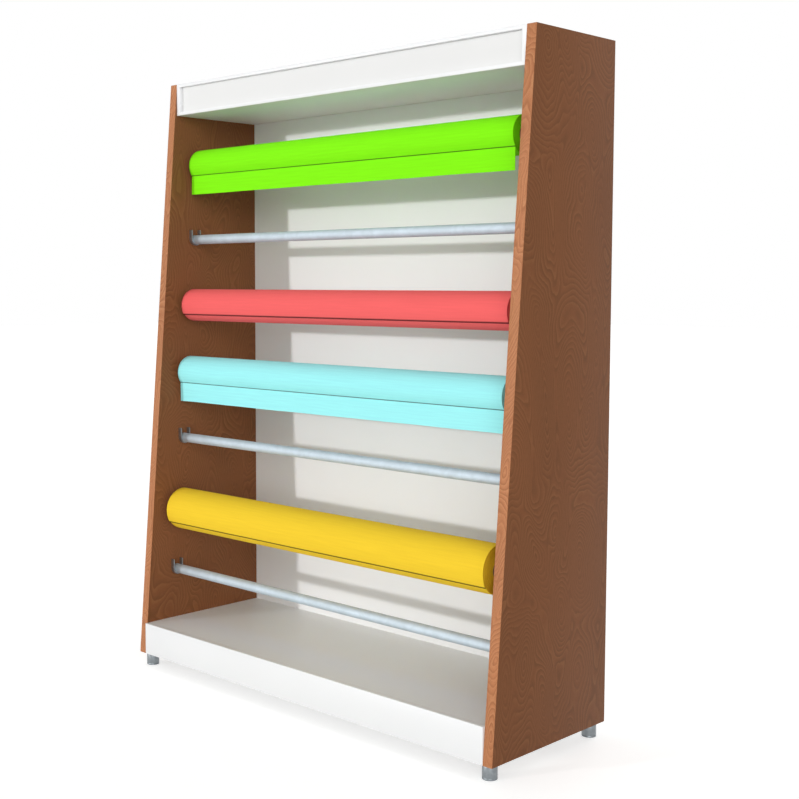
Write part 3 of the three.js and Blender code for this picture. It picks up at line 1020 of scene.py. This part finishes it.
def tail_strip(settings, centre, ends, outer, hem_z, seed):
    """The outermost turn of a roll, which leaves it low on the front and hangs down as a tail."""
    dice = random.Random(seed)
    billow, ripple, raised = waves(dice, 0.35, 1.1), waves(dice, 0.12, 0.3), waves(dice, 0.2, 0.8)
    turn = settings.free_edge_angle
    leave = 3 * math.pi + turn
    half = settings.thickness / 2
    radius = outer - half
    wrap = 2 * math.pi - math.radians(9)
    bend_radius, hem_rise = 6 * MM, 1.2 * MM
    wrap_steps, bend_steps, hang_steps, columns = 100, 8, 14, 90
    path = []
    for i in range(wrap_steps):
        around = leave - wrap * (1 - i / wrap_steps)
        y, z = math.cos(around), math.sin(around)
        path.append((radius * y, radius * z, y, z, 0.0, 0.0))
    start_y, start_z = radius * math.cos(leave), radius * math.sin(leave)
    # The bend from the roll's own direction to straight down, with painted shade along its middle
    for i in range(bend_steps + 1):
        left = turn * (1 - i / bend_steps)
        y = start_y + bend_radius * (math.cos(left) - math.cos(turn))
        z = start_z - bend_radius * (math.sin(turn) - math.sin(left))
        fold = (1 - abs(i / bend_steps - 0.5) * 2) ** 0.3
        path.append((y, z, -math.cos(left), -math.sin(left), fold, 0.0))
    y, top_z = path[-1][:2]
    bottom_z = hem_z - centre.z
    for i in range(1, hang_steps + 1):
        share = i / hang_steps
        path.append((y, top_z + share * (bottom_z - top_z), -1.0, 0.0, 0.0, share))

    rows, along = [], 0.0
    for i, (y, z, normal_y, normal_z, fold, hang) in enumerate(path):
        if i:
            along += math.hypot(y - path[i - 1][0], z - path[i - 1][1])
        points = []
        for j in range(columns + 1):
            x = ends[0] + (ends[1] - ends[0]) * j / columns
            # Broad billows and small ripples, which grow towards the hem
            wave = (0.75 * billow(x) + 0.25 * ripple(x) - 0.5) * 2 * settings.tail_wave * hang**1.4
            rise = hem_rise * raised(x) * hang
            pair = [
                (x, centre.y + y + normal_y * (off + wave), centre.z + z + normal_z * off + rise)
                for off in (half, -half)
            ]
            points.append((*pair, along, x, fold))
        rows.append(points)
    return rows, along


class RACK_OT_rolls(bpy.types.Operator):
    """Winds every roll of fabric, layer on layer, and hangs the tails of the green and cyan ones"""

    bl_idname = "rack.rolls"
    bl_label = "Rolls of Fabric"

    def execute(self, context):
        settings = context.scene.rack_cloth
        tail_air = 0.5 * MM
        for seed, cloth in enumerate(CLOTHS):
            node, core = f"{cloth}_fabric_roll", f"{cloth}_roll_core"
            low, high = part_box(node)
            core_low, core_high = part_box(core)
            centre = (core_low + core_high) / 2
            ends, width = (low.x, high.x), high.x - low.x
            outer = max(centre.y - low.y, high.z - centre.z)
            bore = (core_high.z - core_low.z) / 2 + PLAY + settings.thickness
            finish = woven_cotton(cloth)
            has_tail = cloth in CLOTHS_WITH_TAIL
            # Under a tail's own turn the roll is smaller by that turn and a little air
            roll_outer = outer - settings.thickness - tail_air if has_tail else outer
            lift = 0 if has_tail else settings.free_edge_lift
            strips, wound_length = wound_strips(
                settings, centre, ends, roll_outer, bore, lift, seed
            )
            roll = cloth_piece(f"{cloth}_wound_cloth", strips)
            dress(roll, finish, node)
            if not has_tail:
                continue
            tail_node = f"{cloth}_fabric_tail"
            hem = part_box(tail_node)[0].z
            rows, tail_length = tail_strip(settings, centre, ends, outer, hem, 10 + seed)
            tail = cloth_piece(f"{cloth}_hanging_cloth", [rows])
            dress(tail, finish, tail_node)
        return {"FINISHED"}


class RACK_OT_stage(bpy.types.Operator):
    """Sets the pale floor, the soft studio light and the camera"""

    bl_idname = "rack.stage"
    bl_label = "Floor, Lights and Camera"

    def execute(self, context):
        settings = context.scene.rack_stage
        self.add_floor(settings)
        self.add_room_light(context.scene, settings)
        self.add_lamps(settings)
        self.add_camera(context.scene, settings)
        context.scene.view_settings.view_transform = "Standard"
        return {"FINISHED"}

    def add_floor(self, settings):
        """A wide pale floor that meets the background without an edge."""
        bpy.ops.mesh.primitive_plane_add(size=settings.floor_size)
        floor = bpy.context.active_object
        floor.name = "studio_floor"
        material, tree, shader, _ = new_material("pale_studio_floor")
        # Seen directly, the lit floor is raised to white, and the rack's shadow by as much
        glow = add(
            tree, "Math", {0: seen_directly(tree), 1: settings.floor_glow}, operation="MULTIPLY"
        )
        feed(shader, {
            "Base Color": opaque(settings.floor), "Roughness": 0.9,
            "Emission Color": opaque((1, 1, 1)), "Emission Strength": glow,
        })
        floor.data.materials.append(material)

    def add_room_light(self, scene, settings):
        """A white room: full white where it is seen, and weaker as a light."""
        world = bpy.data.worlds.new("white_room")
        world.use_nodes = True
        tree = world.node_tree
        tree.nodes.clear()
        strength = add(
            tree, "MapRange", {"Value": seen_directly(tree), "To Min": settings.ambient_strength}
        )
        sky = add(tree, "Background", {"Color": opaque((1, 1, 1)), "Strength": strength})
        tree.links.new(sky, tree.nodes.new("ShaderNodeOutputWorld").inputs["Surface"])
        scene.world = world

    def add_lamps(self, settings):
        """A key from the left front, a soft fill from the right front, and a back light."""
        distance = 3
        for name in ("key", "fill", "back"):
            aim = getattr(settings, f"{name}_aim")
            bpy.ops.object.light_add(type="SUN", location=-distance * aim.normalized())
            lamp = bpy.context.active_object
            lamp.name = lamp.data.name = f"{name}_light"
            lamp.rotation_euler = aim.to_track_quat("-Z", "Y").to_euler()
            lamp.data.energy = getattr(settings, f"{name}_strength")
            lamp.data.angle = getattr(settings, f"{name}_softness")

    def add_camera(self, scene, settings):
        """Stands where the photograph was taken from; the frame is square."""
        bpy.ops.object.camera_add(
            location=settings.camera_place,
            rotation=(math.pi / 2 - settings.camera_dip, 0, settings.camera_turn),
        )
        camera = bpy.context.active_object
        camera.name = "photo_camera"
        camera.data.lens = settings.lens
        camera.data.shift_x = settings.shift_across
        camera.data.shift_y = settings.shift_up
        scene.camera = camera


OPERATORS = (
    RACK_OT_stage,
    RACK_OT_sides,
    RACK_OT_boards,
    RACK_OT_header_frame,
    RACK_OT_screws,
    RACK_OT_feet,
    RACK_OT_bars,
    RACK_OT_hooks,
    RACK_OT_cores,
    RACK_OT_rolls,
)


class RACK_PT_sidebar(bpy.types.Panel):
    """Lists the steps that make the rack, and the sizes and colours that they use"""

    bl_label = "Fabric Rack"
    bl_idname = "RACK_PT_sidebar"
    bl_space_type = "VIEW_3D"
    bl_region_type = "UI"
    bl_category = "Fabric Rack"

    def draw(self, context):
        for operator in OPERATORS:
            self.layout.operator(operator.bl_idname)
        for group in GROUPS:
            box = self.layout.box()
            settings = getattr(context.scene, group)
            for name in settings.bl_rna.properties.keys():
                if name not in ("rna_type", "name"):
                    box.prop(settings, name)


CLASSES = (*GROUPS.values(), *OPERATORS, RACK_PT_sidebar)


def register():
    for item in CLASSES:
        bpy.utils.register_class(item)
    for name, group in GROUPS.items():
        setattr(bpy.types.Scene, name, PointerProperty(type=group))


def unregister():
    for name in GROUPS:
        delattr(bpy.types.Scene, name)
    for item in reversed(CLASSES):
        bpy.utils.unregister_class(item)


def main():
    register()
    for operator in OPERATORS:
        group, name = operator.bl_idname.split(".")
        getattr(getattr(bpy.ops, group), name)()


if __name__ == "__main__":
    main()
